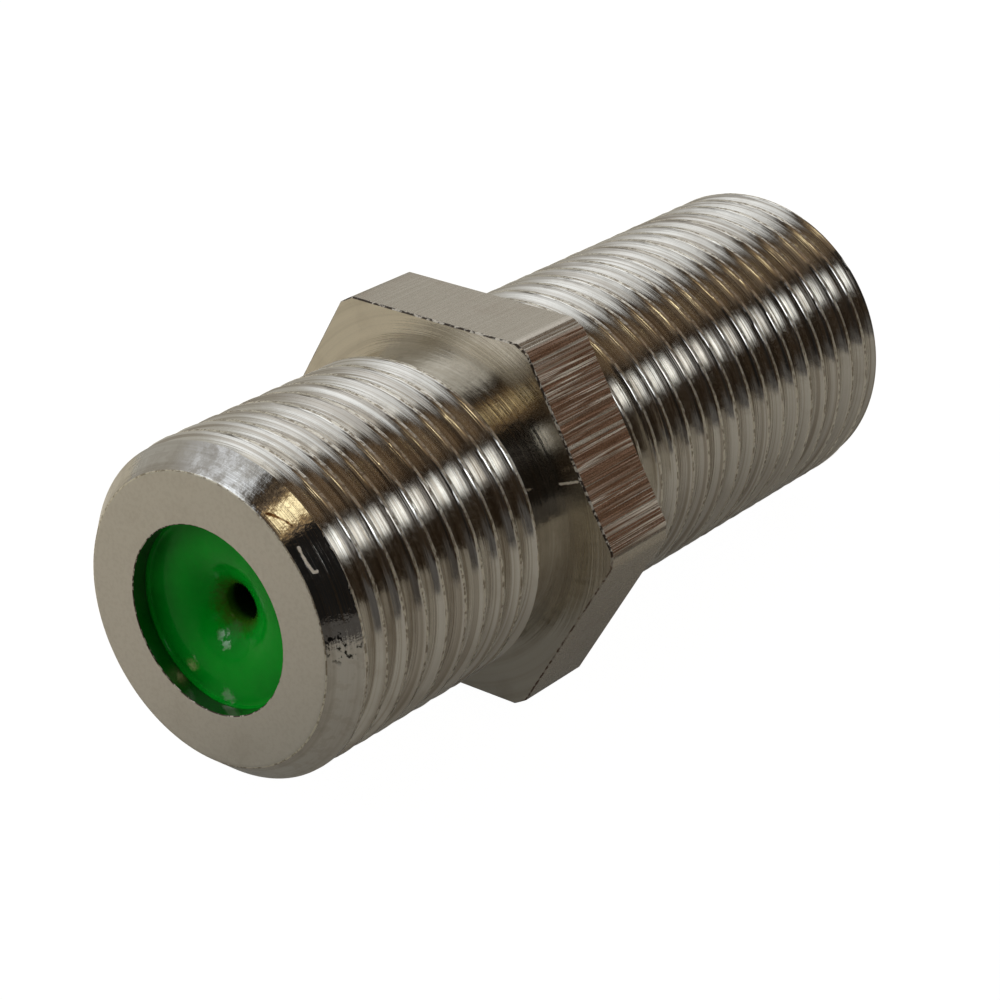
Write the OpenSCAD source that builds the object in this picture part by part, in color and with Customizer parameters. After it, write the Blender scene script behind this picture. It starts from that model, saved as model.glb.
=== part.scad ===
// Double-ended threaded coaxial coupler: a turned barrel with an off-centre hexagon, a funnel-faced
// insulator in each end and one double-ended spring contact between them.
// The barrel's axis is Y, and the origin is on that axis, midway between the two end faces.
// "Depth" in the comments is the distance from the front end face, along the axis.

/* [Barrel] */
// Length of the barrel from end face to end face
barrel_length = 26.2; // [25.0:0.1:30.0]
// Radius over the thread crests, 3/8 inch nominal
thread_r = 4.76; // [4.70:0.01:4.80]
// Radius at the bottom of the thread and of the relief grooves
root_r = 4.26; // [4.20:0.01:4.35]
// Outer radius of the flat ring on each end face
rim_r = 4.14; // [4.00:0.01:4.30]
// Length of the chamfer between the end ring and the thread crests
end_chamfer = 0.75; // [0.50:0.05:1.00]

/* [Hexagon] */
// Width across the flats
hex_width = 11.0; // [10.8:0.1:12.0]
// Thickness along the axis
hex_thickness = 2.6; // [2.2:0.1:3.4]
// Depth of its front face
hex_depth = 9.25; // [8.50:0.05:10.00]
// Radius that its corners are turned down to
hex_corner_r = 6.22; // [6.15:0.01:6.30]

/* [Relief grooves] */
// Width of the groove in front of the hexagon
front_relief = 1.30; // [1.00:0.05:1.60]
// Width of the groove behind the hexagon
rear_relief = 0.90; // [0.70:0.05:1.60]

/* [Bore] */
// Radius of the opening in each end
mouth_r = 2.65; // [2.50:0.01:2.75]
// Thickness of the barrel's front lip
lip_thickness = 0.50; // [0.40:0.05:0.70]
// Radius of the bore behind the lip
bore_r = 3.2; // [3.1:0.05:3.4]
// Length of the bushing pressed into the rear end
bushing_length = 0.90; // [0.70:0.05:1.20]

/* [Insulators] */
// Radius of the hole that guides the mating centre wire
throat_r = 0.52; // [0.50:0.01:0.60]
// Depth of the hole's mouth behind the insulator's outer edge
funnel_depth = 0.86; // [0.70:0.02:1.10]
// Length of that hole
throat_length = 0.80; // [0.60:0.05:1.00]
// Length of the plug that fills the bore
plug_length = 3.6; // [3.0:0.1:4.5]
// Outer radius of the sleeve round the contact
sleeve_r = 1.75; // [1.50:0.05:2.00]

/* [Contact] */
// Outer radius of its rolled tube
contact_r = 0.86; // [0.80:0.01:0.90]
// Thickness of its sheet
sheet = 0.20; // [0.16:0.01:0.24]
// Radius left between the leaves where they pinch the wire
pinch_r = 0.24; // [0.20:0.01:0.30]
// Length of the spring leaves
leaf_length = 5.2; // [4.0:0.1:6.0]
// Width of the slots between the leaves
leaf_slot = 0.26; // [0.20:0.02:0.34]
// Radius over the bead that holds it between the insulators
bead_r = 1.16; // [1.05:0.01:1.25]

/* [Hidden] */
$fn = 96;

// The thread's flanks lean 30 degrees from square, and so do the ends of the relief grooves
flank_run = (thread_r - root_r) * tan(30);
hex_rear = hex_depth + hex_thickness;
hex_circumradius = hex_width / 2 / cos(30);
front_thread_end = hex_depth - front_relief;
rear_thread_start = hex_rear + rear_relief;
middle = barrel_length / 2;

// Insulator face: a narrow seat under the lip, a small step, then the funnel
face_step = 0.12;
face_r = mouth_r - 0.15;
funnel_power = 3;
funnel_steps = 10;
front_face = lip_thickness;
rear_face = barrel_length - bushing_length;
sleeve_gap = 0.06;
pocket_r = contact_r + sleeve_gap;
contact_gap = 0.15;

// Contact: leaves curve in to the pinch, then flare as a lead-in
bead_width = 0.9;
bead_wall = 0.22;
bead_play = 0.02;
flare_length = 0.55;
flare_rise = 0.28;
leaf_steps = 8;
seam = 0.12;
leaf_count = 4;
// Slots stop short of the tube, where the leaves are rooted
leaf_root = 0.4;
cut_margin = 0.2;

bushing_edge = 0.12;

// Stands a shape that was drawn along Z on the barrel's axis, with its own zero at a given depth
module at_depth(depth) {
    translate([0, depth - middle, 0])
        rotate([-90, 0, 0])
            children();
}

// The same, but facing the rear end
module at_depth_reversed(depth) {
    translate([0, depth - middle, 0])
        rotate([90, 0, 0])
            children();
}

// Turned outside of the barrel: end rings, chamfers, thread crests and relief grooves
module barrel_outside() {
    rotate_extrude()
        polygon([
            [0, 0],
            [rim_r, 0],
            [thread_r, end_chamfer],
            [thread_r, front_thread_end],
            [root_r, front_thread_end + flank_run],
            [root_r, rear_thread_start - flank_run],
            [thread_r, rear_thread_start],
            [thread_r, barrel_length - end_chamfer],
            [rim_r, barrel_length],
            [0, barrel_length]
        ]);
}

// Hexagonal bar left between the two threads, its corners turned down a little
module hexagon() {
    intersection() {
        translate([0, 0, hex_depth])
            cylinder(h = hex_thickness, r = hex_circumradius, $fn = 6);
        translate([0, 0, hex_depth])
            cylinder(h = hex_thickness, r = hex_corner_r);
    }
}

// Opening through the front lip, then the bore that runs out of the rear end
module barrel_bores() {
    translate([0, 0, -cut_margin])
        cylinder(h = lip_thickness + 2 * cut_margin, r = mouth_r);
    translate([0, 0, lip_thickness])
        cylinder(h = barrel_length, r = bore_r);
}

module body() {
    color("silver")
        at_depth(0)
            difference() {
                union() {
                    barrel_outside();
                    hexagon();
                }
                barrel_bores();
            }
}

// Depth of the funnel below the insulator's step at radius r: flat near the edge, steep at the hole
function funnel(r) =
    face_step + (funnel_depth - face_step) * pow((face_r - r) / (face_r - throat_r), funnel_power);

function funnel_points() = [
    for (i = [0 : funnel_steps])
        let (r = face_r + (throat_r - face_r) * i / funnel_steps)
            [r, funnel(r)]
];

// One insulator, drawn from its outer edge inwards: plug, funnel, guide hole, pocket and sleeve
module insulator(sleeve_end) {
    pocket_depth = funnel_depth + throat_length;
    rotate_extrude()
        polygon(concat(
            [[bore_r, 0], [mouth_r, 0]],
            funnel_points(),
            [
                [throat_r, pocket_depth],
                [pocket_r, pocket_depth],
                [pocket_r, sleeve_end - bead_width / 2],
                [bead_r + bead_play, sleeve_end - bead_width / 2],
                [bead_r + bead_play, sleeve_end],
                [sleeve_r, sleeve_end],
                [sleeve_r, plug_length],
                [bore_r, plug_length]
            ]
        ));
}

module front_insulator() {
    color("green")
        at_depth(front_face)
            insulator(middle - front_face);
}

module rear_insulator() {
    color("green")
        at_depth_reversed(rear_face)
            insulator(rear_face - middle);
}

// Inner radius of the contact at a distance from its tip: flare, pinch, then out to the tube
function leaf_inner(z) =
    z < flare_length
    ? pinch_r + flare_rise * pow(1 - z / flare_length, 2)
    : pinch_r + (contact_r - sheet - pinch_r) * (1 - cos(180 * (z - flare_length) / (leaf_length - flare_length))) / 2;

function leaf_line(offset_r) = [
    for (i = [0 : leaf_steps])
        let (z = leaf_length * i / leaf_steps)
            [leaf_inner(z) + offset_r, z]
];

function reverse(points) = [for (i = [len(points) - 1 : -1 : 0]) points[i]];

// Half of the contact, from one tip to the middle of its bead
module contact_half(length) {
    bead_start = length - bead_width / 2;
    rotate_extrude()
        polygon(concat(
            leaf_line(0),
            [
                [contact_r - sheet, bead_start + bead_wall],
                [bead_r - bead_wall, bead_start + bead_wall],
                [bead_r - bead_wall, length],
                [bead_r, length],
                [bead_r, bead_start],
                [contact_r, bead_start]
            ],
            reverse(leaf_line(sheet))
        ));
}

// Saw cuts that part the leaves at one end
module leaf_slots() {
    for (k = [0 : leaf_count / 2 - 1])
        rotate([0, 0, 45 + k * 360 / leaf_count])
            translate([-2 * contact_r, -leaf_slot / 2, -cut_margin])
                cube([4 * contact_r, leaf_slot, leaf_length - leaf_root + cut_margin]);
}

module centre_contact() {
    front_tip = front_face + funnel_depth + throat_length + contact_gap;
    rear_tip = rear_face - funnel_depth - throat_length - contact_gap;
    color("goldenrod")
        difference() {
            union() {
                at_depth(front_tip)
                    contact_half(middle - front_tip);
                at_depth_reversed(rear_tip)
                    contact_half(rear_tip - middle);
            }
            at_depth(front_tip)
                leaf_slots();
            at_depth_reversed(rear_tip)
                leaf_slots();
            // Seam of the rolled sheet, along the whole tube
            at_depth(front_tip)
                translate([0, -seam / 2, -cut_margin])
                    cube([2 * bead_r, seam, rear_tip - front_tip + 2 * cut_margin]);
        }
}

// Ring that holds the rear insulator in, flush with the end face
module rear_bushing() {
    color("silver")
        at_depth(rear_face)
            rotate_extrude()
                polygon([
                    [mouth_r, 0],
                    [bore_r, 0],
                    [bore_r, bushing_length - bushing_edge],
                    [bore_r - bushing_edge, bushing_length],
                    [mouth_r + bushing_edge, bushing_length],
                    [mouth_r, bushing_length - bushing_edge]
                ]);
}

body();
front_insulator();
rear_insulator();
centre_contact();
rear_bushing();
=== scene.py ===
"""Looks of a double-ended threaded coaxial coupler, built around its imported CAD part.

Lengths in the classes are in millimetres, in the part's frame: the barrel's axis is Y, +Z is up, and
"depth" is the distance from the front end face along the axis.
"""
import logging
import math
from dataclasses import dataclass
from enum import IntEnum

import bpy
import numpy as np
from bpy.types import Material, Node, NodeSocket as Socket, NodeTree, Object
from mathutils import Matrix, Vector


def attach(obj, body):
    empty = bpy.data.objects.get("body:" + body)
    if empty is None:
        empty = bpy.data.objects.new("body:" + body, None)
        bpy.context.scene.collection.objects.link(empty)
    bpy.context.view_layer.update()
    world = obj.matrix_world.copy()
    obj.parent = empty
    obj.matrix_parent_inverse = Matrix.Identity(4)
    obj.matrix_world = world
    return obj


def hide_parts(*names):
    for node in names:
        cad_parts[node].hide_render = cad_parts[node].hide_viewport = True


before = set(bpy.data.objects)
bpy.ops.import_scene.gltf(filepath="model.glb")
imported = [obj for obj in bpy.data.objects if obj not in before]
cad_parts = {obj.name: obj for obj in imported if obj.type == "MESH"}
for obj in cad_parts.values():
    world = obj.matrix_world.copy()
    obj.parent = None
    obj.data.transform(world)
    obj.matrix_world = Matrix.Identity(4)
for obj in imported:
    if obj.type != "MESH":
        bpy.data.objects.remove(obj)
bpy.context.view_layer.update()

MM = 0.001
# edges that turn more than this stay sharp
SHARP_DEG = 32.0
# the barrel's length, its bore's radius and the radius of its two mouths
LENGTH = 26.2
BORE_R = 3.2
MOUTH_R = 2.65
log = logging.getLogger("coupler")

Colour = tuple[float, float, float]
Point = tuple[float, float, float]
# where a change begins and where it is complete
Range = tuple[float, float]
# middle and reach
Spot = tuple[Point, float]
# radius at one end of the thread, and how fast it grows from there
Cone = tuple[float, float]


class Region(IntEnum):
    """Surfaces of the barrel that are finished in different ways."""

    POLISHED = 0
    THREAD = 1
    FLAT = 2
    BORE = 3
    RIM = 4
    FACED = 5
    CREST = 6
    BURR = 7


class Graph:
    """Short calls for building one node tree."""

    def __init__(self, tree: NodeTree) -> None:
        """Keeps the tree that the nodes go into."""
        self.tree = tree

    def add(self, kind: str, **settings: object) -> Node:
        """Adds one node.

        Args:
            kind: Blender's name for the node, without "ShaderNode".
            settings: properties to set on it.

        Returns:
            The new node.
        """
        node = self.tree.nodes.new("ShaderNode" + kind)
        for name, value in settings.items():
            setattr(node, name, value)
        return node

    def put(self, socket: Socket, value: object) -> None:
        """Feeds one input.

        Args:
            socket: the input.
            value: another socket, or a plain number, vector or colour.
        """
        if isinstance(value, Socket):
            self.tree.links.new(value, socket)
        elif socket.type == "RGBA":
            socket.default_value = (*value, 1.0)
        else:
            socket.default_value = value

    def fill(self, node: Node, *values: object) -> Node:
        """Feeds a node's inputs in their order.

        Args:
            node: the node.
            values: what its inputs get, leaving out those that its settings switch off.

        Returns:
            The same node.
        """
        for socket, value in zip([socket for socket in node.inputs if socket.enabled], values):
            self.put(socket, value)
        return node

    def feed(self, node: Node, **values: object) -> Node:
        """Feeds a node's inputs by name.

        Args:
            node: the node.
            values: what its inputs get, with _ for a space in their names.

        Returns:
            The same node.
        """
        for name, value in values.items():
            self.put(node.inputs[name.replace("_", " ")], value)
        return node

    def math(self, operation: str, *values: object, clamp: bool = False) -> Socket:
        """Adds a Math node and gives its result, held from 0 to 1 if clamp is set."""
        return self.fill(self.add("Math", operation=operation, use_clamp=clamp), *values).outputs[0]

    def times(self, a: object, b: object) -> Socket:
        """Multiplies two numbers."""
        return self.math("MULTIPLY", a, b)

    def plus(self, a: object, b: object) -> Socket:
        """Adds two numbers."""
        return self.math("ADD", a, b)

    def vector(self, operation: str, a: object, b: object) -> Socket:
        """Adds a Vector Math node and gives its result, a number for a distance or a dot product."""
        node = self.fill(self.add("VectorMath", operation=operation), a, b)
        return node.outputs["Value" if operation in ("DISTANCE", "DOT_PRODUCT") else "Vector"]

    def in_mm(self, place: object) -> Socket:
        """Turns a point in metres into one in millimetres."""
        return self.vector("MULTIPLY", place, (1000.0, 1000.0, 1000.0))

    def off_axis(self, x: object, z: object) -> Socket:
        """Gives the distance from the barrel's axis."""
        return self.math("SQRT", self.plus(self.times(x, x), self.times(z, z)))

    def near(self, place: object, spot: Spot) -> Socket:
        """Gives 1 well inside a spot and 0 beyond its reach."""
        middle, reach = spot
        return self.remap(self.vector("DISTANCE", self.in_mm(place), middle), 0.6 * reach, reach, 1.0, 0.0)

    def split(self, vector: object) -> tuple[Socket, ...]:
        """Gives the three components of a vector."""
        return tuple(self.fill(self.add("SeparateXYZ"), vector).outputs)

    def joined(self, x: object, y: object, z: object) -> Socket:
        """Makes a vector of three numbers."""
        return self.fill(self.add("CombineXYZ"), x, y, z).outputs[0]

    def noise(self, vector: object, scale: float, detail: float = 2.0, rough: float = 0.5) -> Socket:
        """Reads a 3-D noise, about 0.5 on average, with scale in cells per unit and detail in octaves."""
        node = self.feed(self.add("TexNoise"), Vector=vector, Scale=scale, Detail=detail, Roughness=rough)
        return node.outputs[0]

    def remap(
        self, value: object, low: float, high: float, to_low: float = 0.0, to_high: float = 1.0
    ) -> Socket:
        """Turns low..high smoothly into to_low..to_high, held beyond them."""
        node = self.add("MapRange", interpolation_type="SMOOTHSTEP")
        return self.fill(node, value, low, high, to_low, to_high).outputs[0]

    def mix(self, factor: object, a: object, b: object) -> Socket:
        """Mixes two colours: a where the factor is 0, b where it is 1."""
        return self.fill(self.add("Mix", data_type="RGBA"), factor, a, b).outputs[2]

    def bump(self, height: object, strength: float, distance_mm: float, **under: Socket) -> Socket:
        """Bumps the plain or the given Normal by a height from 0 to 1, where 1 stands for the distance."""
        values = {"Strength": strength, "Distance": distance_mm * MM, "Height": height, **under}
        return self.feed(self.add("Bump"), **values).outputs[0]

    def place(self, group: NodeTree, **values: object) -> dict[str, Socket]:
        """Places a node group with its inputs by name, and gives its outputs by name."""
        return dict(self.feed(self.add("Group", node_tree=group), **values).outputs.items())


def new_group(
    name: str, inputs: dict[str, tuple[str, object]], outputs: tuple[str, ...]
) -> tuple[Graph, Node, Node]:
    """Makes an empty shader node group with named sockets.

    Args:
        name: the group's name.
        inputs: for each input its kind, Float or Vector, and its plain value.
        outputs: names of the outputs, all numbers.

    Returns:
        Its graph, its input node and its output node.
    """
    tree = bpy.data.node_groups.new(name, "ShaderNodeTree")
    for label, (kind, value) in inputs.items():
        socket = tree.interface.new_socket(label, in_out="INPUT", socket_type="NodeSocket" + kind)
        if value is not None:
            socket.default_value = value
    for label in outputs:
        tree.interface.new_socket(label, in_out="OUTPUT", socket_type="NodeSocketFloat")
    return Graph(tree), tree.nodes.new("NodeGroupInput"), tree.nodes.new("NodeGroupOutput")


class SharedEffects:
    """Node groups that more than one finish uses. Each reads a point of the part in metres."""

    def __init__(self) -> None:
        """Builds every group once."""
        self.tool_marks = self._tool_marks()
        self.speckle = self._speckle()

    def _tool_marks(self) -> NodeTree:
        """Rings that a lathe tool leaves: noise read only along radius plus depth, so that it runs round
        the axis on end faces and on cylinders alike.

        Returns:
            The group, with inputs Vector, Fineness and Band Fineness (rings per mm in the relief and in the
            dark bands) and outputs Height and Band.
        """
        inputs = {"Vector": ("Vector", None), "Fineness": ("Float", 12.0), "Band Fineness": ("Float", 3.1)}
        graph, given, out = new_group("tool_marks", inputs, ("Height", "Band"))
        x, y, z = graph.split(graph.in_mm(given.outputs["Vector"]))
        along = graph.plus(graph.off_axis(x, z), y)
        drift = graph.times(graph.noise(graph.joined(x, y, z), 0.35, 1.0), 0.12)
        fine = graph.times(graph.plus(along, drift), given.outputs["Fineness"])
        coarse = graph.times(along, given.outputs["Band Fineness"])
        graph.feed(
            out,
            Height=graph.noise(graph.joined(fine, 0.37, 0.11), 1.0, 3.0, 0.65),
            Band=graph.noise(graph.joined(coarse, 0.71, 0.23), 1.0, 2.0, 0.6),
        )
        return graph.tree

    def _speckle(self) -> NodeTree:
        """Fine grain, and broader stains.

        Returns:
            The group, with inputs Vector and Size (mm) and outputs Grain and Stain.
        """
        inputs = {"Vector": ("Vector", None), "Size": ("Float", 0.06)}
        graph, given, out = new_group("speckle", inputs, ("Grain", "Stain"))
        point = graph.in_mm(given.outputs["Vector"])
        grain = graph.noise(point, graph.math("DIVIDE", 1.0, given.outputs["Size"]), 3.0, 0.6)
        graph.feed(out, Grain=grain, Stain=graph.noise(point, 0.55, 4.0, 0.6))
        return graph.tree


def new_material(name: str) -> tuple[Material, Graph, Node, Socket]:
    """Makes a material with one Principled shader.

    Args:
        name: the material's name.

    Returns:
        The material, its graph, its shader node and the object's own point in metres.
    """
    material = bpy.data.materials.new(name)
    material.use_nodes = True
    graph = Graph(material.node_tree)
    return material, graph, graph.tree.nodes["Principled BSDF"], graph.add("TexCoord").outputs["Object"]


@dataclass(frozen=True)
class NickelFinish:
    """Bright nickel over turned brass, with the marks of one way of working it.

    Bands, stains and wear are the shares by which those marks turn the colour into the shadow's. The spots
    with dark pits and with near-white specks, and the scratch lines, painted glints and dark lines, are at
    their own places on the part, in mm. On the sawn flat the bright lines are painted highlights along its
    ridges.
    """

    name: str
    colour: Colour = (0.63, 0.61, 0.57)
    shadow: Colour = (0.25, 0.2, 0.14)
    roughness: float = 0.14
    anisotropy: float = 0.0
    mark_height_mm: float = 0.0015
    fineness: float = 12.0
    bands: float = 0.1
    band_fineness: float = 3.1
    band_range: Range = (0.42, 0.66)
    stains: float = 0.2
    wear: float = 0.0
    grain_mm: float = 0.06
    grain_height_mm: float = 0.0015
    sawn: bool = False
    pits: Spot | None = None
    white_specks: Spot | None = None
    scratches_and_glints: tuple[tuple[Point, ...], ...] = ()
    dark_lines: tuple[tuple[Point, ...], ...] = ()
    pit_colour: Colour = (0.03, 0.028, 0.025)
    white_speck_colour: Colour = (0.98, 0.98, 0.97)
    dark_line_colour: Colour = (0.1, 0.05, 0.02)
    bare_and_highlight_colour: Colour = (1.0, 0.92, 0.8)
    bare_and_highlight_matness: float = 0.85
    bare_and_highlight_roughness: float = 0.35
    line_mm: Range = (0.015, 0.055)

    def build(self, effects: SharedEffects) -> Material:
        """Builds the material.

        Args:
            effects: the shared node groups.

        Returns:
            The material.
        """
        material, graph, shader, place = new_material(self.name)
        marks = graph.place(
            effects.tool_marks, Vector=place, Fineness=self.fineness, Band_Fineness=self.band_fineness
        )
        speckle = graph.place(effects.speckle, Vector=place, Size=self.grain_mm)
        grain, stain = speckle["Grain"], speckle["Stain"]
        height, band = marks["Height"], marks["Band"]
        strength: object = self.bands
        bare_and_highlight: object = 0.0
        # on the sawn flat, the bright lines along its ridges are painted highlights
        if self.sawn:
            height, band, strength, bare_and_highlight = self.saw_marks(graph, place)
        # scratch lines: real on the hexagon's face, a painted glint on the chamfer
        if self.scratches_and_glints:
            bare_and_highlight = self.on_lines(graph, place, grain, self.scratches_and_glints)
        dull = graph.times(graph.remap(band, *self.band_range), strength)
        colour = graph.mix(dull, self.colour, self.shadow)
        colour = graph.mix(graph.remap(stain, 0.5, 0.72, 0.0, self.stains), colour, self.shadow)
        colour = graph.mix(graph.remap(grain, 0.48, 0.58, 0.0, self.wear), colour, self.shadow)
        if self.pits:
            pit = graph.remap(graph.noise(graph.in_mm(place), 4.5, 3.0, 0.6), 0.57, 0.62)
            colour = graph.mix(graph.times(pit, graph.near(place, self.pits)), colour, self.pit_colour)
        if self.white_specks:
            white_speck = graph.remap(graph.noise(graph.in_mm(place), 1.9, 5.0, 0.75), 0.42, 0.62)
            colour = graph.mix(graph.times(white_speck, graph.near(place, self.white_specks)), colour, self.white_speck_colour)
        if self.dark_lines:
            colour = graph.mix(self.on_lines(graph, place, grain, self.dark_lines), colour, self.dark_line_colour)
        rough = graph.math("ADD", self.roughness, graph.remap(grain, 0.35, 0.7, -0.04, 0.06), clamp=True)
        metal: object = 1.0
        # bright lines turn lighter, rougher and less metallic: painted highlight on saw ridges and the
        # chamfer's glint, bare metal in real scratches
        if self.sawn or self.scratches_and_glints:
            colour = graph.mix(bare_and_highlight, colour, self.bare_and_highlight_colour)
            rough = graph.plus(rough, graph.times(bare_and_highlight, self.bare_and_highlight_roughness))
            metal = graph.math("SUBTRACT", metal, graph.times(bare_and_highlight, self.bare_and_highlight_matness))
        if self.anisotropy:
            round_axis = graph.add("Tangent", direction_type="RADIAL", axis="Y").outputs[0]
            graph.feed(shader, Anisotropic=self.anisotropy, Anisotropic_Rotation=0.25, Tangent=round_axis)
        relief = graph.times(height, strength) if self.sawn else height
        normal = graph.bump(relief, 1.0, self.mark_height_mm)
        normal = graph.bump(grain, 1.0, self.grain_height_mm, Normal=normal)
        graph.feed(shader, Base_Color=colour, Metallic=metal, Roughness=rough, Normal=normal)
        return material

    def on_lines(
        self, graph: Graph, place: Socket, grain: Socket, lines: tuple[tuple[Point, ...], ...]
    ) -> Socket:
        """Thin ragged lines on the surface.

        The nearest point of a straight piece from A to B is A + s (B - A), where
        s = (P - A).(B - A) / |B - A|^2 is held between 0 and 1. The distance to it, plus some grain, gives
        the line.

        Args:
            graph: the material's graph.
            place: the point P in metres.
            grain: noise that makes the edges ragged.
            lines: the points that each line runs through, in mm.

        Returns:
            1 on the lines, 0 away from them.
        """
        point = graph.in_mm(place)
        ragged = graph.times(graph.math("SUBTRACT", grain, 0.5), 0.09)
        share: object = 0.0
        for begin, end in (pair for line in lines for pair in zip(line, line[1:])):
            run = Vector(end) - Vector(begin)
            off = graph.vector("SUBTRACT", point, begin)
            part = graph.vector("DOT_PRODUCT", off, run / run.length_squared)
            held = graph.math("MULTIPLY", part, 1.0, clamp=True)
            nearest = graph.vector("MULTIPLY", graph.joined(held, held, held), run)
            away = graph.plus(graph.vector("DISTANCE", off, nearest), ragged)
            share = graph.math("MAXIMUM", share, graph.remap(away, *self.line_mm, 1.0, 0.0))
        return share

    def saw_marks(self, graph: Graph, place: Socket) -> tuple[Socket, ...]:
        """Marks along the barrel on the hexagon's flats, heavy on the flat that leans up to the right.

        Args:
            graph: the material's graph.
            place: the point in metres.

        Returns:
            Relief, darkness, strength and the share of painted highlight along the saw ridges. The painted
            highlight lines run where a noise crosses its middle value, which makes them thin and straight,
            and gather in groups.
        """
        lines, dark, streaks, groups = (
            graph.noise(graph.vector("MULTIPLY", place, (across, along, across)), 1.0, detail, rough)
            for across, along, detail, rough in (
                (6000.0, 60.0, 3.0, 0.75), (7500.0, 50.0, 2.0, 0.8),
                (4200.0, 45.0, 3.0, 0.7), (1900.0, 160.0, 1.0, 0.5),
            )
        )
        crossing = graph.math("ABSOLUTE", graph.math("SUBTRACT", streaks, 0.5))
        thin = graph.remap(crossing, 0.006, 0.034, 1.0, 0.0)
        bare_and_highlight = graph.times(thin, graph.remap(groups, 0.42, 0.62, 0.15, 1.0))
        # that flat is 5.5 mm from the axis along the direction 30 degrees above +X
        x, _, z = graph.split(place)
        lean = graph.plus(graph.times(x, 866.0), graph.times(z, 500.0))
        heavy = graph.remap(lean, 5.40, 5.47)
        strength = graph.plus(graph.times(heavy, 0.94), 0.06)
        return lines, dark, strength, graph.times(bare_and_highlight, heavy)


@dataclass(frozen=True)
class BurredEdge:
    """Sheared edges of the hexagon and the mouth: dark tears with bright spots of uncovered metal between
    them.
    """

    name: str = "burred_edge"
    torn: Colour = (0.06, 0.045, 0.035)
    bare_and_highlight: Colour = (0.75, 0.7, 0.62)
    dark_line: Colour = (0.16, 0.11, 0.08)
    plain: Colour = (0.45, 0.41, 0.36)

    def build(self, effects: SharedEffects) -> Material:
        """Builds the material. The hexagon's edges, beyond the mouth's radius, are less torn below the axis.

        Args:
            effects: the shared node groups.

        Returns:
            The material.
        """
        material, graph, shader, place = new_material(self.name)
        grain = graph.place(effects.speckle, Vector=place, Size=0.14)["Grain"]
        torn = graph.mix(graph.remap(grain, 0.49, 0.56), self.torn, self.bare_and_highlight)
        x, _, z = graph.split(place)
        outer = graph.remap(graph.off_axis(x, z), 3.5 * MM, 4.0 * MM)
        below = graph.times(graph.remap(z, 0.0, 0.3 * MM, 1.0, 0.0), outer)
        lower = graph.mix(graph.remap(grain, 0.44, 0.54), self.dark_line, self.plain)
        graph.feed(
            shader, Base_Color=graph.mix(below, torn, lower), Metallic=0.7, Roughness=0.45,
            Normal=graph.bump(grain, 1.0, 0.03),
        )
        return material


@dataclass(frozen=True)
class GreenPlastic:
    """Glossy green moulded insulator, brown round its hole, with painted shade on its left side and painted
    shade deep in its hole.

    The spots are wet-looking places in the front funnel. Their sizes and the other places are in mm.
    """

    name: str = "green_plastic"
    colour: Colour = (0.0006, 0.53, 0.028)
    painted_shade: Colour = (0.0004, 0.25, 0.015)
    brown: Colour = (0.07, 0.12, 0.008)
    hole: Colour = (0.002, 0.008, 0.004)
    gloss: float = 0.14
    painted_shade_x: Range = (-2.4, -0.4)
    brown_r: Range = (0.5, 0.95)
    hole_y: Range = (11.4, 11.7)
    hole_r: Range = (0.53, 0.6)
    spots: tuple[Spot, ...] = (
        ((-0.38, -12.14, -0.9), 0.2), ((-0.16, -12.24, -1.12), 0.16),
        ((-1.17, -12.48, -1.92), 0.26), ((0.07, -12.48, -2.44), 0.28),
    )

    def build(self, effects: SharedEffects) -> Material:
        """Builds the material.

        Args:
            effects: the shared node groups.

        Returns:
            The material.
        """
        material, graph, shader, place = new_material(self.name)
        speckle = graph.place(effects.speckle, Vector=place, Size=0.12)
        grain = graph.math("SUBTRACT", speckle["Grain"], 0.5)
        point = graph.in_mm(place)
        x, y, z = graph.split(point)
        radius = graph.off_axis(x, z)
        stain_and_shade = graph.times(graph.remap(speckle["Stain"], 0.4, 0.65), 0.3)
        # painted shade: the green turns darker towards the left, where the lip shades it
        stain_and_shade = graph.math("ADD", stain_and_shade, graph.remap(x, *self.painted_shade_x, 0.7, 0.0), clamp=True)
        colour = graph.mix(stain_and_shade, self.colour, self.painted_shade)
        ragged = graph.plus(radius, graph.times(grain, 0.5))
        colour = graph.mix(graph.remap(ragged, *self.brown_r, 0.8, 0.0), colour, self.brown)
        # painted shade: the colour turns nearly black deep in the hole
        inside = graph.remap(graph.math("ABSOLUTE", y), *self.hole_y, 0.9, 0.0)
        inside = graph.times(inside, graph.remap(radius, *self.hole_r, 1.0, 0.0))
        wet: object = 0.0
        uneven = graph.times(grain, 0.6)
        for middle, size in self.spots:
            off = graph.plus(graph.vector("DISTANCE", point, middle), uneven)
            wet = graph.math("MAXIMUM", wet, graph.remap(off, 0.3 * size, size, 1.0, 0.0))
        graph.feed(
            shader,
            Base_Color=graph.mix(inside, colour, self.hole),
            Roughness=graph.remap(speckle["Grain"], 0.3, 0.75, self.gloss - 0.05, self.gloss + 0.08),
            Specular_IOR_Level=0.1, Coat_Weight=wet, Coat_IOR=2.2, Coat_Roughness=0.06,
            Normal=graph.bump(speckle["Stain"], 0.4, 0.03),
        )
        return material


@dataclass(frozen=True)
class TinnedBronze:
    """Spring contact of bronze sheet with a satin tin plate."""

    name: str = "tinned_bronze"
    colour: Colour = (0.62, 0.6, 0.55)
    stain: Colour = (0.4, 0.3, 0.16)

    def build(self, effects: SharedEffects) -> Material:
        """Builds the material.

        Args:
            effects: the shared node groups.

        Returns:
            The material.
        """
        material, graph, shader, place = new_material(self.name)
        speckle = graph.place(effects.speckle, Vector=place, Size=0.05)
        stained = graph.remap(speckle["Stain"], 0.45, 0.7, 0.0, 0.5)
        graph.feed(
            shader, Base_Color=graph.mix(stained, self.colour, self.stain), Metallic=1.0,
            Roughness=graph.remap(speckle["Grain"], 0.3, 0.7, 0.28, 0.42),
            Normal=graph.bump(speckle["Grain"], 0.5, 0.004),
        )
        return material


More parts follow.
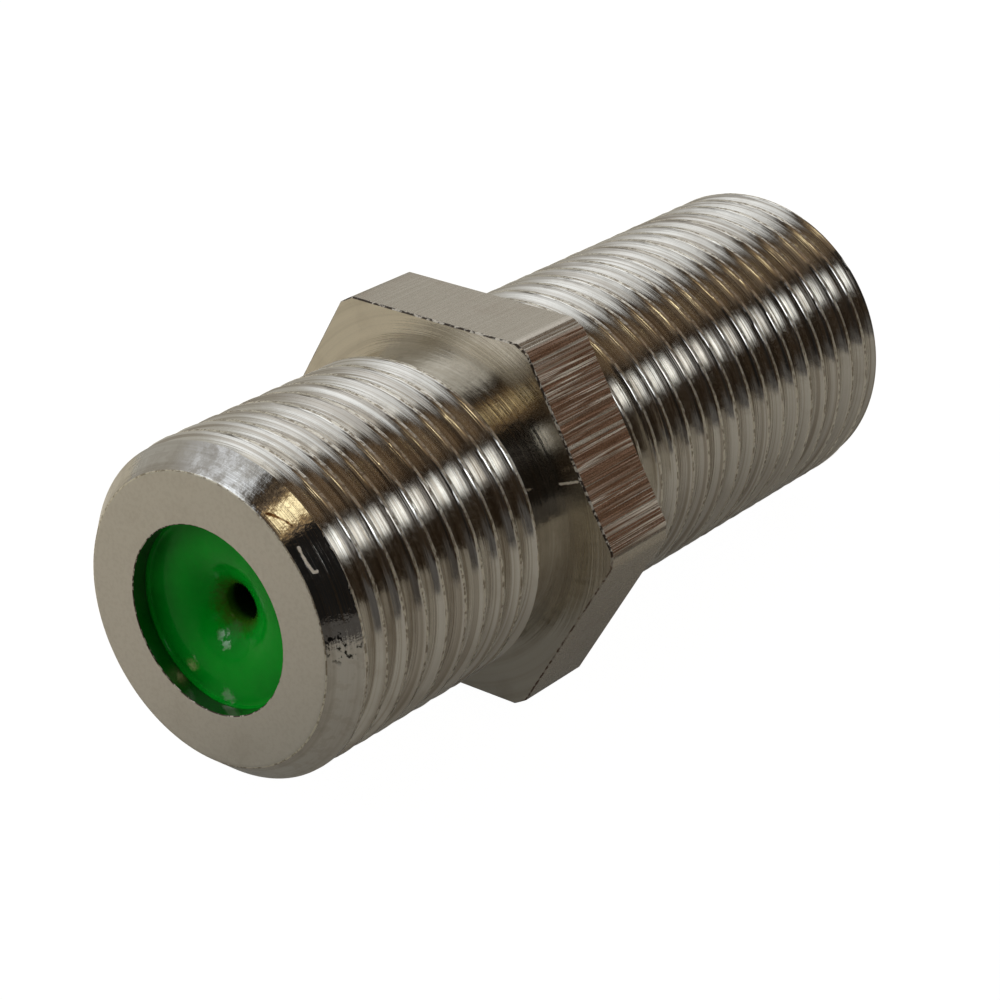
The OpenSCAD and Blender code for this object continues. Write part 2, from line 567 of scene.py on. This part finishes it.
def triangles(index: np.ndarray) -> tuple[np.ndarray, np.ndarray]:
    """Splits a grid of vertex numbers into triangles, and drops those with two corners alike.

    Args:
        index: vertex number at each row and column.

    Returns:
        The triangles, and the grid row that each belongs to.
    """
    a, b = index[:-1, :-1].ravel(), index[:-1, 1:].ravel()
    c, d = index[1:, 1:].ravel(), index[1:, :-1].ravel()
    rows = np.repeat(np.arange(len(index) - 1), index.shape[1] - 1)
    made = np.concatenate([np.stack([a, b, c], 1), np.stack([a, c, d], 1)])
    rows = np.concatenate([rows, rows])
    real = (made[:, 0] != made[:, 1]) & (made[:, 1] != made[:, 2]) & (made[:, 0] != made[:, 2])
    return made[real], rows[real]


def add_piece(
    name: str, points_mm: np.ndarray, faces: np.ndarray, materials: list[Material],
    slots: np.ndarray | None = None,
) -> Object:
    """Makes a mesh object of triangles, smooth but for its sharp edges.

    Args:
        name: the piece's name.
        points_mm: its points.
        faces: its triangles.
        materials: its materials.
        slots: which material each triangle has, or None for the first.

    Returns:
        The object, riding on the part.
    """
    mesh = bpy.data.meshes.new(name)
    mesh.from_pydata((points_mm * MM).tolist(), [], faces.tolist())
    for material in materials:
        mesh.materials.append(material)
    if slots is not None:
        mesh.polygons.foreach_set("material_index", slots.astype(np.int32))
    mesh.polygons.foreach_set("use_smooth", np.ones(len(mesh.polygons), bool))
    mesh.update()
    mesh.set_sharp_from_angle(angle=math.radians(SHARP_DEG))
    piece = bpy.data.objects.new(name, mesh)
    bpy.context.scene.collection.objects.link(piece)
    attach(piece, "root")
    log.info("%s: %d points, %d triangles", name, len(points_mm), len(faces))
    return piece


def revolve(profile: np.ndarray, columns: int) -> tuple[np.ndarray, np.ndarray]:
    """Turns a closed profile round the barrel's axis.

    A point of the surface at profile row i and angle t is (r_i cos t, y_i, r_i sin t). The profile runs
    anticlockwise in the plane of depth (right) and radius (up), which makes the faces point outwards.

    Args:
        profile: rows of (y, radius), first row not repeated.
        columns: steps round the axis.

    Returns:
        Points and triangles.
    """
    angle = np.linspace(0.0, 2.0 * np.pi, columns, endpoint=False)
    y = np.broadcast_to(profile[:, :1], (len(profile), columns))
    radius = profile[:, 1:2]
    points = np.stack([radius * np.cos(angle), y, radius * np.sin(angle)], axis=-1)
    index = np.arange(len(profile) * columns).reshape(len(profile), columns)
    index = np.concatenate([index, index[:1]])
    index = np.concatenate([index, index[:, :1]], axis=1)
    return points.reshape(-1, 3), triangles(index)[0]


def snapped(y: np.ndarray, radius: np.ndarray, cone: np.ndarray) -> tuple[np.ndarray, np.ndarray]:
    """Cuts the tooth by the end cones, with grid rows moved onto the line where they meet.

    Between two rows of one column the tooth and the cone are straight, so they meet at the share
    s = g0 / (g0 - g1) of the way, with g their difference at each row.

    Args:
        y: depth of each point.
        radius: the tooth's radius there.
        cone: the cones' radius there.

    Returns:
        The moved depths and the final radii.
    """
    gap = radius - cone
    crosses = gap[:-1] * gap[1:] < 0.0
    share = np.where(crosses, gap[:-1] / np.where(crosses, gap[:-1] - gap[1:], 1.0), 0.0)
    y_cross = y[:-1] + share * (y[1:] - y[:-1])
    r_cross = radius[:-1] + share * (radius[1:] - radius[:-1])
    final_y, final_r = y.copy(), np.minimum(radius, cone)
    near = crosses & (share < 0.5)
    final_y[:-1][near], final_r[:-1][near] = y_cross[near], r_cross[near]
    far = crosses & ~near
    far[:-1] &= ~near[1:]
    final_y[1:][far], final_r[1:][far] = y_cross[far], r_cross[far]
    return final_y, final_r


@dataclass
class Barrel:
    """The one turned piece: lip, end rings, both threads, grooves and the hexagon.

    The tooth is one turn of the thread: place along the axis in pitches from the crest's middle, and depth
    below the crest. Burrs are read from random numbers, in cells per turn of the thread, and fade out with
    the tooth's depth. Two rows of the tooth above the worn depth bound a worn crest.
    """

    crest_r: float = 4.752
    thread_r: float = 4.76
    root_r: float = 4.26
    rim_r: float = 4.14
    chamfer: float = 0.75
    lip: float = 0.5
    hex_start: float = 9.25
    hex_thickness: float = 2.6
    hex_width: float = 11.0
    hex_corner_r: float = 6.219
    front_relief: float = 1.3
    rear_relief: float = 0.9
    pitch: float = 0.79375
    front_phase: float = 1.504
    rear_phase: float = 13.596
    phase_angle: float = 50.0
    edge: float = 0.035
    burr: float = 0.005
    burr_limit: float = 0.008
    burr_depth: float = 0.02
    burr_cells: int = 170
    broad_cells: int = 28
    worn_depth: float = 0.007
    fade_turns: float = 0.18
    seed: int = 7
    tooth: tuple[tuple[float, float], ...] = (
        (-0.475, 0.488), (-0.45, 0.468), (-0.36, 0.344), (-0.24, 0.179), (-0.13, 0.028), (-0.1, 0.008),
        (-0.05, 0.0), (0.0, 0.006), (0.055, 0.0), (0.1, 0.008), (0.13, 0.028), (0.28, 0.234), (0.45, 0.468),
    )
    flat_steps: int = 32
    corner_steps: int = 3

    def angles(self) -> np.ndarray:
        """Angles of the grid's columns: even steps over each flat and each small corner facet.

        Returns:
            Radians from 0 to a full turn, both included.
        """
        corner = 30.0 - math.degrees(math.acos(self.hex_width / 2.0 / self.hex_corner_r))
        one = np.concatenate([
            np.linspace(0.0, corner, self.corner_steps, endpoint=False),
            np.linspace(corner, 60.0 - corner, self.flat_steps, endpoint=False),
            np.linspace(60.0 - corner, 60.0, self.corner_steps, endpoint=False),
        ])
        return np.radians(np.concatenate([one + 60.0 * k for k in range(6)] + [[360.0]]))

    def hex_radius(self, angle: np.ndarray) -> np.ndarray:
        """Outline of the hexagon: half its width over the cosine from the nearest flat's middle, cut at the
        turned-down corners.

        Args:
            angle: radians round the axis.

        Returns:
            Radius at each angle.
        """
        off = angle % (math.pi / 3.0) - math.pi / 6.0
        return np.minimum(self.hex_width / 2.0 / np.cos(off), self.hex_corner_r)

    def thread(
        self, first: float, last: float, phase: float, run_in: float, nose: Cone, tail: Cone
    ) -> tuple[np.ndarray, np.ndarray, np.ndarray]:
        """One helical thread as a sheared grid.

        Row (m, k) lies at y = phase + P (m + u_k) - P (t - t0) / 2 pi, where u_k is the tooth's k-th place,
        so that each row runs along the helix and the last column is the first one moved by one turn. Its
        radius is the least of the tooth's own radius and two cones, one from each end. Rows beyond the ends
        are held at them.

        Args:
            first: depth where the front cone starts.
            last: depth where the rear cone ends.
            phase: depth of a crest at the phase angle.
            run_in: turns before that crest at which the groove has died out.
            nose: radius and slope of the front cone at its start.
            tail: radius and slope of the rear cone at its end, going forwards.

        Returns:
            Depth and radius at each row and column, and a mask of the points that are free of the ends.
        """
        angle = self.angles()
        place, below = np.array(self.tooth).T
        per_turn = len(place)
        low = math.floor((first - phase) / self.pitch) - 1
        high = math.ceil((last - phase) / self.pitch) + 2
        turns = np.arange(low, high)
        u = (turns[:, None] + place[None]).ravel()
        drop = np.tile(below, len(turns))[:, None]
        sheared = (angle - math.radians(self.phase_angle)) / (2.0 * math.pi)
        y = phase + self.pitch * (u[:, None] - sheared[None])
        along = sheared[None] - np.repeat(turns, per_turn)[:, None]
        rng = np.random.default_rng(self.seed)
        wobble, shift = np.zeros_like(y), np.zeros_like(y)
        cells = (len(turns) + 3) * self.burr_cells
        for k in range(per_turn):
            rows = slice(k, None, per_turn)
            fine = rng.normal(size=cells)
            broad = rng.normal(size=cells // 6)
            at = along[rows] - along.min()
            fine_at = np.interp(at * self.burr_cells, np.arange(cells), fine)
            broad_at = np.interp(at * self.broad_cells, np.arange(cells // 6), broad)
            crest = math.exp(-((below[k] / self.burr_depth) ** 2))
            wobble[rows] = crest * (0.8 * fine_at + 0.2 * broad_at)
            shift[rows] = crest * (0.5 * fine_at + 0.1 * broad_at)
        y = y + shift * self.burr * 0.8
        groove = along - np.tile(place > 0.0, len(turns))[:, None]
        cut = 1.0 - np.clip((groove - run_in) / self.fade_turns + 1.0, 0.0, 1.0)
        radius = self.crest_r - drop * cut + np.minimum(wobble * self.burr, self.burr_limit)
        radius = np.maximum(radius, self.root_r)
        cone = np.minimum(nose[0] + nose[1] * (y - first), tail[0] + tail[1] * (last - y))
        y, radius = snapped(y, radius, cone)
        free = (y > first + 1e-4) & (y < last - 1e-4)
        free[per_turn:, -1] = free[:-per_turn, 0]
        free[:per_turn, -1] = False
        y[per_turn:, -1] = y[:-per_turn, 0]
        radius[per_turn:, -1] = radius[:-per_turn, 0]
        return np.clip(y, first, last), radius, free

    def build(self, materials: list[Material]) -> Object:
        """Builds the barrel as one closed grid: rows along its profile, columns round its axis.

        Args:
            materials: one for each Region, in order.

        Returns:
            The piece.
        """
        angle = self.angles()[:-1]
        columns = len(angle)
        middle = LENGTH / 2.0
        outline = self.hex_radius(angle)
        points: list[np.ndarray] = []
        index_rows: list[np.ndarray] = []
        regions: list[int] = []
        count = 0

        def ring(depth: float, radius: object, region: Region) -> None:
            """Adds one row that goes straight round.

            Args:
                depth: its depth.
                radius: its radius, one for all columns or one for each.
                region: surface that begins with it.
            """
            nonlocal count
            r, d = np.broadcast_to(radius, columns), np.full(columns, depth)
            points.append(np.stack([r * np.cos(angle), d - middle, r * np.sin(angle)], axis=1))
            row = np.arange(count, count + columns)
            index_rows.append(np.append(row, row[0]))
            regions.append(int(region))
            count += columns

        def helix(first: float, last: float, *shape: object) -> None:
            """Adds the rows of one thread between the ring before it and the ring that is added next.

            Args:
                first: depth where it starts.
                last: depth where it ends.
                shape: its phase, run-in and cones, as for thread().
            """
            nonlocal count
            y, radius, free = self.thread(first, last, *shape)
            per_turn = len(self.tooth)
            before = index_rows[-1]
            body = free[:, :-1]
            after = count + int(body.sum()) + np.arange(columns)
            index = np.where(y[:, :-1] <= (first + last) / 2.0, before[:-1], after)
            number = np.cumsum(body.ravel()).reshape(body.shape) - 1 + count
            index = np.where(body, number, index)
            last_column = np.concatenate([np.full(per_turn, before[0]), index[:-per_turn, 0]])
            index = np.concatenate([index, last_column[:, None]], axis=1)
            t = np.broadcast_to(angle, body.shape)[body]
            r, d = radius[:, :-1][body], y[:, :-1][body]
            points.append(np.stack([r * np.cos(t), d - middle, r * np.sin(t)], axis=1))
            index_rows.extend(index)
            below = np.array(self.tooth)[:, 1]
            worn = np.maximum(below, np.roll(below, -1)) < self.worn_depth
            one_turn = np.where(worn, Region.CREST, Region.THREAD).tolist()
            regions.extend(one_turn * (len(index) // per_turn))
            count += len(r)

        # the thread's ends lean by 30 degrees into the grooves beside the hexagon
        lean = math.tan(math.radians(30.0))
        run = (self.thread_r - self.root_r) * lean
        slope = (self.thread_r - self.rim_r) / self.chamfer
        e, root, rim = self.edge, self.root_r, self.rim_r
        hex_start, hex_end = self.hex_start, self.hex_start + self.hex_thickness
        groove_a = hex_start - self.front_relief + run
        groove_b = hex_end + self.rear_relief - run
        rear_end = LENGTH - 0.02
        ring(self.lip, BORE_R, Region.BORE)
        ring(self.lip, MOUTH_R + e, Region.BORE)
        ring(self.lip - e, MOUTH_R, Region.BORE)
        ring(0.34, MOUTH_R, Region.BORE)
        ring(0.02, MOUTH_R, Region.BURR)
        for r in (MOUTH_R + 0.025, MOUTH_R + 0.12, 3.0, 3.4, 3.8, rim - 0.12):
            ring(0.0, r, Region.RIM)
        ring(0.0, rim - 0.04, Region.CREST)
        ring(0.02, rim, Region.THREAD)
        helix(0.02, groove_a, self.front_phase, 0.4, (rim, slope), (root, 1.0 / lean))
        for depth in (groove_a, groove_a + 0.08, hex_start - 0.12):
            ring(depth, root, Region.POLISHED)
        for share in (0.0, 0.1, 0.4, 0.75, 0.93):
            ring(hex_start, root + share * (outline - root), Region.FACED)
        ring(hex_start, outline - e, Region.BURR)
        ring(hex_start + e, outline, Region.BURR)
        for depth in (hex_start + 2.0 * e, hex_end - 3.0 * e, hex_end - e):
            ring(depth, outline, Region.FLAT)
        ring(hex_end, outline - e, Region.FACED)
        for share in (0.9, 0.4, 0.08, 0.0):
            ring(hex_end, root + share * (outline - root), Region.FACED)
        ring(groove_b - 0.05, root, Region.FACED)
        ring(groove_b, root, Region.THREAD)
        helix(groove_b, rear_end, self.rear_phase, math.inf, (root, 1.0 / lean), (rim, slope))
        ring(rear_end, rim, Region.FACED)
        for r in (rim - 0.03, rim - 0.12, 3.8, 3.4, BORE_R + 0.1, BORE_R + 0.02):
            ring(LENGTH, r, Region.RIM)
        for inwards in (0.02, 0.2):
            ring(LENGTH - inwards, BORE_R, Region.BORE)
        index_rows.append(index_rows[0])
        # the rows run clockwise in the plane of depth and radius, so the faces are turned over
        faces, rows = triangles(np.stack(index_rows))
        faces = faces[:, ::-1]
        placed = np.concatenate(points)
        slots = np.array(regions)[rows]
        centre = placed[faces].mean(axis=1)
        off_end = middle - np.abs(centre[:, 1])
        on_cone = np.hypot(centre[:, 0], centre[:, 2]) > rim + slope * off_end - 0.02
        threaded = np.isin(slots, (Region.THREAD, Region.CREST))
        slots[threaded & (off_end < self.chamfer) & on_cone] = Region.POLISHED
        piece = add_piece("barrel", placed, faces, materials, slots)
        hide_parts("body")
        return piece


@dataclass
class Insulator:
    """One moulded plug with its funnel, guide hole and sleeve.

    The rounding of the step behind the lip has places along the axis and distances in from the mouth.
    """

    name: str
    node: str
    outer_depth: float
    towards_rear: bool
    rounding: tuple[tuple[float, float], ...] = ((0.0, 0.0), (0.06, 0.01), (0.1, 0.035), (0.117, 0.08))
    face_edge: float = 0.15
    face_step: float = 0.12
    funnel_depth: float = 0.86
    funnel_power: float = 3.0
    throat_r: float = 0.52
    throat_length: float = 0.8
    plug_length: float = 3.6
    sleeve_r: float = 1.75
    pocket_r: float = 0.92
    bead_r: float = 1.18
    bead_half: float = 0.45
    columns: int = 96

    def profile(self) -> np.ndarray:
        """Closed outline of half the section, from the outer edge inwards.

        The funnel's depth at radius r is step + (depth - step) ((R - r) / (R - throat)) ** power.

        Returns:
            Rows of (distance from the outer edge along the axis, radius).
        """
        face_r = MOUTH_R - self.face_edge
        r = np.linspace(face_r, self.throat_r + 0.02, 44)
        share = (face_r - r) / (face_r - self.throat_r)
        depth = self.face_step + (self.funnel_depth - self.face_step) * share ** self.funnel_power
        end = abs(LENGTH / 2.0 - self.outer_depth)
        bead = end - self.bead_half
        pocket = self.funnel_depth + self.throat_length
        return np.concatenate([
            [[0.0, BORE_R]],
            [[along, MOUTH_R - inwards] for along, inwards in self.rounding],
            np.stack([depth, r], axis=1),
            [
                [self.funnel_depth + 0.03, self.throat_r], [pocket, self.throat_r], [pocket, self.pocket_r],
                [bead, self.pocket_r], [bead, self.bead_r], [end, self.bead_r], [end, self.sleeve_r],
                [self.plug_length, self.sleeve_r], [self.plug_length, BORE_R],
            ],
        ])

    def build(self, material: Material) -> Object:
        """Builds the plug in place of its CAD node.

        Args:
            material: its finish.

        Returns:
            The piece.
        """
        section = self.profile()
        sign = -1.0 if self.towards_rear else 1.0
        section[:, 0] = self.outer_depth + sign * section[:, 0] - LENGTH / 2.0
        points, faces = revolve(section, self.columns)
        if self.towards_rear:
            faces = faces[:, ::-1]
        piece = add_piece(self.name, points, faces, [material])
        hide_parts(self.node)
        return piece


@dataclass
class Bushing:
    """Ring pressed into the rear end, flush with its face."""

    depth: float = 25.3
    edge: float = 0.12
    columns: int = 96

    def build(self, material: Material) -> Object:
        """Turns the ring's section round the axis.

        Args:
            material: its finish.

        Returns:
            The piece.
        """
        e, third = self.edge, self.edge / 3.0
        section = np.array([
            [self.depth, MOUTH_R], [LENGTH - e, MOUTH_R], [LENGTH - third, MOUTH_R + third],
            [LENGTH, MOUTH_R + e], [LENGTH, BORE_R - e], [LENGTH - third, BORE_R - third],
            [LENGTH - e, BORE_R], [self.depth, BORE_R],
        ])
        section[:, 0] -= LENGTH / 2.0
        points, faces = revolve(section, self.columns)
        piece = add_piece("rear_ring", points, faces, [material])
        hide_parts("rear_bushing")
        return piece


@dataclass(frozen=True)
class Strip:
    """A long soft light parallel to the barrel, as seen from it.

    Its middle turns from +X to +Z, and it starts and ends at a lean towards +Y, all in degrees.
    """

    turn: float
    width: float
    start: float
    end: float
    soft: float
    strength: float
    colour: Colour = (1.0, 1.0, 1.0)


@dataclass(frozen=True)
class Patch:
    """A small round light in one direction, with its size in degrees."""

    direction: Point
    radius: float
    soft: float
    strength: float
    colour: Colour = (1.0, 1.0, 1.0)


@dataclass
class Floor:
    """Floor under the two edges that the part rests on.

    It is white to the camera. Other rays see painted light and shade on it: a painted pool of light beyond
    the left, painted shade to the right and a painted shadow darkest in the near right corner, with each
    change between two places on X, and the corner's also towards -Y. The shares are those of plain white.
    """

    point: Point = (0.0, -1.25, -5.5)
    rise_deg: float = 3.12
    half_mm: float = 3000.0
    pale: Colour = (1.0, 0.92, 0.74)
    left: Colour = (0.86, 0.79, 0.66)
    right: Colour = (0.5, 0.47, 0.4)
    corner: Colour = (0.04, 0.03, 0.02)
    pale_x: Range = (-17.0, -13.0)
    right_x: Range = (-9.0, 0.0)
    corner_x: Range = (2.0, 10.0)
    corner_near: Range = (25.0, 31.0)
    white: float = 1.15
    seen_share: float = 0.86
    mirrored_share: float = 0.06

    def material(self) -> Material:
        """Builds the floor's material.

        Returns:
            The material.
        """
        material, graph, shader, place = new_material("floor")
        x, y, _ = graph.split(graph.in_mm(place))
        # painted light and shade, seen in reflections: pale on the left, darker to the right, painted shadow
        # in the near right corner
        shade = graph.mix(graph.remap(x, *self.right_x), self.left, self.right)
        shade = graph.mix(graph.remap(x, *self.pale_x, 1.0, 0.0), shade, self.pale)
        near = graph.remap(graph.times(y, -1.0), *self.corner_near)
        near = graph.times(near, graph.remap(x, *self.corner_x))
        shade = graph.mix(near, shade, self.corner)
        graph.feed(shader, Base_Color=shade, Roughness=0.9, Specular_IOR_Level=0.0)
        path = graph.add("LightPath").outputs
        mirrored = graph.plus(path["Is Glossy Ray"], path["Is Transmission Ray"])
        mirrored = graph.times(mirrored, self.mirrored_share)
        seen = graph.times(path["Is Camera Ray"], self.seen_share)
        share = graph.math("ADD", seen, mirrored, clamp=True)
        white = graph.feed(graph.add("Emission"), Strength=self.white).outputs[0]
        mixed = graph.fill(graph.add("MixShader"), share, shader.outputs[0], white).outputs[0]
        graph.feed(graph.tree.nodes["Material Output"], Surface=mixed)
        return material

    def build(self) -> None:
        """Lays the floor."""
        half, rise = self.half_mm * MM, math.radians(self.rise_deg)
        side, along = np.array([1.0, 0.0, 0.0]), np.array([0.0, math.cos(rise), math.sin(rise)])
        signs = ((-1, -1), (1, -1), (1, 1), (-1, 1))
        corners = [np.array(self.point) * MM + half * (a * side + b * along) for a, b in signs]
        mesh = bpy.data.meshes.new("floor")
        mesh.from_pydata([corner.tolist() for corner in corners], [], [(0, 1, 2, 3)])
        mesh.materials.append(self.material())
        floor = bpy.data.objects.new("floor", mesh)
        bpy.context.scene.collection.objects.link(floor)


@dataclass
class Studio:
    """Camera, floor and surroundings."""

    lens_mm: float = 98.743
    sensor_mm: float = 36.0
    place: Point = (44.744, -57.934, 32.731)
    back: Point = (0.55891, -0.71376, 0.42206)
    base: Colour = (0.034, 0.023, 0.014)
    strips: tuple[Strip, ...] = (
        Strip(170.0, 70.0, -75.0, 80.0, 8.0, 0.47, (1.0, 0.97, 0.88)),
        Strip(127.0, 50.0, -63.0, -24.0, 8.0, 0.88, (0.97, 1.0, 1.02)),
        Strip(135.0, 24.0, -52.0, -33.0, 6.0, 1.15, (0.97, 1.0, 1.03)),
        Strip(124.0, 52.0, -24.0, -6.0, 5.0, 0.55),
        Strip(111.0, 30.0, -6.0, 22.0, 4.0, 1.35, (0.97, 1.0, 1.03)),
        Strip(118.0, 40.0, 22.0, 64.0, 5.0, 0.92),
        Strip(73.0, 30.0, -58.0, -8.0, 6.0, 0.19, (1.0, 0.76, 0.53)),
        Strip(73.0, 30.0, -8.0, 75.0, 6.0, 0.2, (1.0, 0.71, 0.46)),
        Strip(39.0, 18.0, -24.0, -12.0, 4.0, 0.2),
        Strip(27.0, 66.0, -52.0, -29.0, 2.5, 0.012),
        Strip(40.0, 15.0, -17.0, 22.0, 4.5, 2.5, (0.94, 1.0, 1.06)),
        Strip(39.0, 22.0, 22.0, 62.0, 4.0, 0.4),
        Strip(73.0, 21.0, -43.0, -24.0, 3.0, 0.45, (1.0, 0.66, 0.3)),
        Strip(73.0, 12.0, -40.0, -26.0, 3.0, 2.1, (1.0, 0.88, 0.56)),
    )
    patch: Patch = Patch((0.32, -0.914, 0.25), 6.0, 3.0, 0.45)

    def camera(self) -> None:
        """Makes the camera at the photograph's angle and sets it."""
        data = bpy.data.cameras.new("camera")
        data.lens, data.sensor_width = self.lens_mm, self.sensor_mm
        data.clip_start, data.clip_end = 0.002, 20.0
        camera = bpy.data.objects.new("camera", data)
        camera.location = Vector(self.place) * MM
        camera.rotation_mode = "QUATERNION"
        camera.rotation_quaternion = (-Vector(self.back)).to_track_quat("-Z", "Y")
        bpy.context.scene.collection.objects.link(camera)
        bpy.context.scene.camera = camera

    def surroundings(self) -> None:
        """Paints the room: dark, with soft lights that run along the barrel, and white behind the part."""
        world = bpy.data.worlds.new("studio")
        bpy.context.scene.world = world
        world.use_nodes = True
        graph = Graph(world.node_tree)
        direction = graph.add("TexCoord").outputs["Generated"]
        x, y, z = graph.split(direction)
        degrees = 180.0 / math.pi
        turn = graph.times(graph.math("ARCTAN2", z, x), degrees)
        lean = graph.times(graph.math("ARCSINE", y), degrees)
        colour: object = self.base
        for strip in self.strips:
            half, soft = strip.width / 2.0, strip.soft
            off = graph.math("ABSOLUTE", graph.math("SUBTRACT", turn, strip.turn))
            across = graph.remap(off, half - soft, half + soft, 1.0, 0.0)
            begin = graph.remap(lean, strip.start - soft, strip.start + soft)
            finish = graph.remap(lean, strip.end - soft, strip.end + soft, 1.0, 0.0)
            share = graph.times(graph.times(across, begin), finish)
            colour = graph.mix(share, colour, [strip.strength * c for c in strip.colour])
        patch = self.patch
        cosine = graph.vector("DOT_PRODUCT", direction, Vector(patch.direction).normalized())
        off = graph.times(graph.math("ARCCOSINE", cosine), degrees)
        share = graph.remap(off, patch.radius - patch.soft, patch.radius + patch.soft, 1.0, 0.0)
        colour = graph.mix(share, colour, [patch.strength * c for c in patch.colour])
        seen = graph.add("LightPath").outputs["Is Camera Ray"]
        colour = graph.mix(seen, colour, (1.0, 1.0, 1.0))
        graph.feed(world.node_tree.nodes["Background"], Color=colour, Strength=1.0)

    def build(self) -> None:
        """Sets up the camera, the floor, the surroundings and the plain view settings."""
        self.camera()
        Floor().build()
        self.surroundings()
        bpy.context.scene.view_settings.view_transform = "Standard"
        log.info("studio: camera, floor and %d lights", len(self.strips) + 1)


def barrel_finishes() -> tuple[NickelFinish | BurredEdge, ...]:
    """Gives the barrel's finishes in the order of Region.

    Returns:
        One finish for each region. The marks that the photo shows once are at their own places.
    """
    polished = NickelFinish(
        "polished_nickel", roughness=0.07, anisotropy=0.5, fineness=9.0, bands=0.3, mark_height_mm=0.01,
        wear=0.13, grain_mm=0.3, grain_height_mm=0.008, pits=((4.35, -12.72, 0.62), 0.65),
        # near-white specks over the chamfer's top
        white_specks=((0.9, -12.72, 4.35), 1.7),
        # two thin dark lines across the chamfer
        dark_lines=((
            (2.164, -12.969, 3.657), (2.331, -12.896, 3.623), (2.506, -12.834, 3.569),
            (2.657, -12.782, 3.511), (2.795, -12.754, 3.431),
        ),),
        # a painted glint: the hooked bright line on the chamfer
        scratches_and_glints=(((3.12, -12.88, 2.97), (3.39, -12.9, 2.62), (3.58, -12.86, 2.41), (3.64, -12.8, 2.43)),),
    )
    thread = NickelFinish(
        "thread_nickel", colour=(0.74, 0.715, 0.665), shadow=(0.28, 0.225, 0.165), roughness=0.11,
        fineness=9.0, bands=0.6, band_fineness=9.0, mark_height_mm=0.012, grain_mm=0.12,
        grain_height_mm=0.0005,
    )
    drawn = NickelFinish(
        "drawn_nickel", colour=(0.55, 0.51, 0.44), shadow=(0.28, 0.16, 0.1), roughness=0.28,
        mark_height_mm=0.22, band_range=(0.33, 0.46), sawn=True,
    )
    bore = NickelFinish("bore_nickel", colour=(0.3, 0.28, 0.25), roughness=0.12)
    rim = NickelFinish(
        "matt_nickel", roughness=0.4, bands=0.0, stains=0.1, wear=0.05, mark_height_mm=0.0005,
        grain_mm=0.12, grain_height_mm=0.006,
    )
    faced = NickelFinish(
        "faced_nickel", colour=(0.67, 0.63, 0.55), roughness=0.12, anisotropy=0.85, fineness=7.0,
        bands=0.2, mark_height_mm=0.016, grain_height_mm=0.0008,
        scratches_and_glints=(((4.45, -3.85, 1.81), (5.05, -3.85, 2.05)), ((5.24, -3.85, 1.92), (5.36, -3.85, 1.84))),
    )
    crest = NickelFinish(
        "worn_crest", colour=(0.78, 0.74, 0.64), roughness=0.33, bands=0.0, stains=0.1, wear=0.75,
        grain_mm=0.16, grain_height_mm=0.02,
    )
    return polished, thread, drawn, bore, rim, faced, crest, BurredEdge()


def main() -> None:
    """Builds every piece in order and dresses the CAD nodes that stay."""
    logging.basicConfig(level=logging.INFO, format="%(name)s: %(message)s")
    effects = SharedEffects()
    nickel = [finish.build(effects) for finish in barrel_finishes()]
    Barrel().build(nickel)
    green = GreenPlastic().build(effects)
    Insulator("front_plug", "front_insulator", 0.5, False).build(green)
    Insulator("rear_plug", "rear_insulator", 25.3, True).build(green)
    Bushing().build(nickel[0])
    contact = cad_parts["centre_contact"]
    contact.data.materials.clear()
    contact.data.materials.append(TinnedBronze().build(effects))
    Studio().build()


if __name__ == "__main__":
    main()
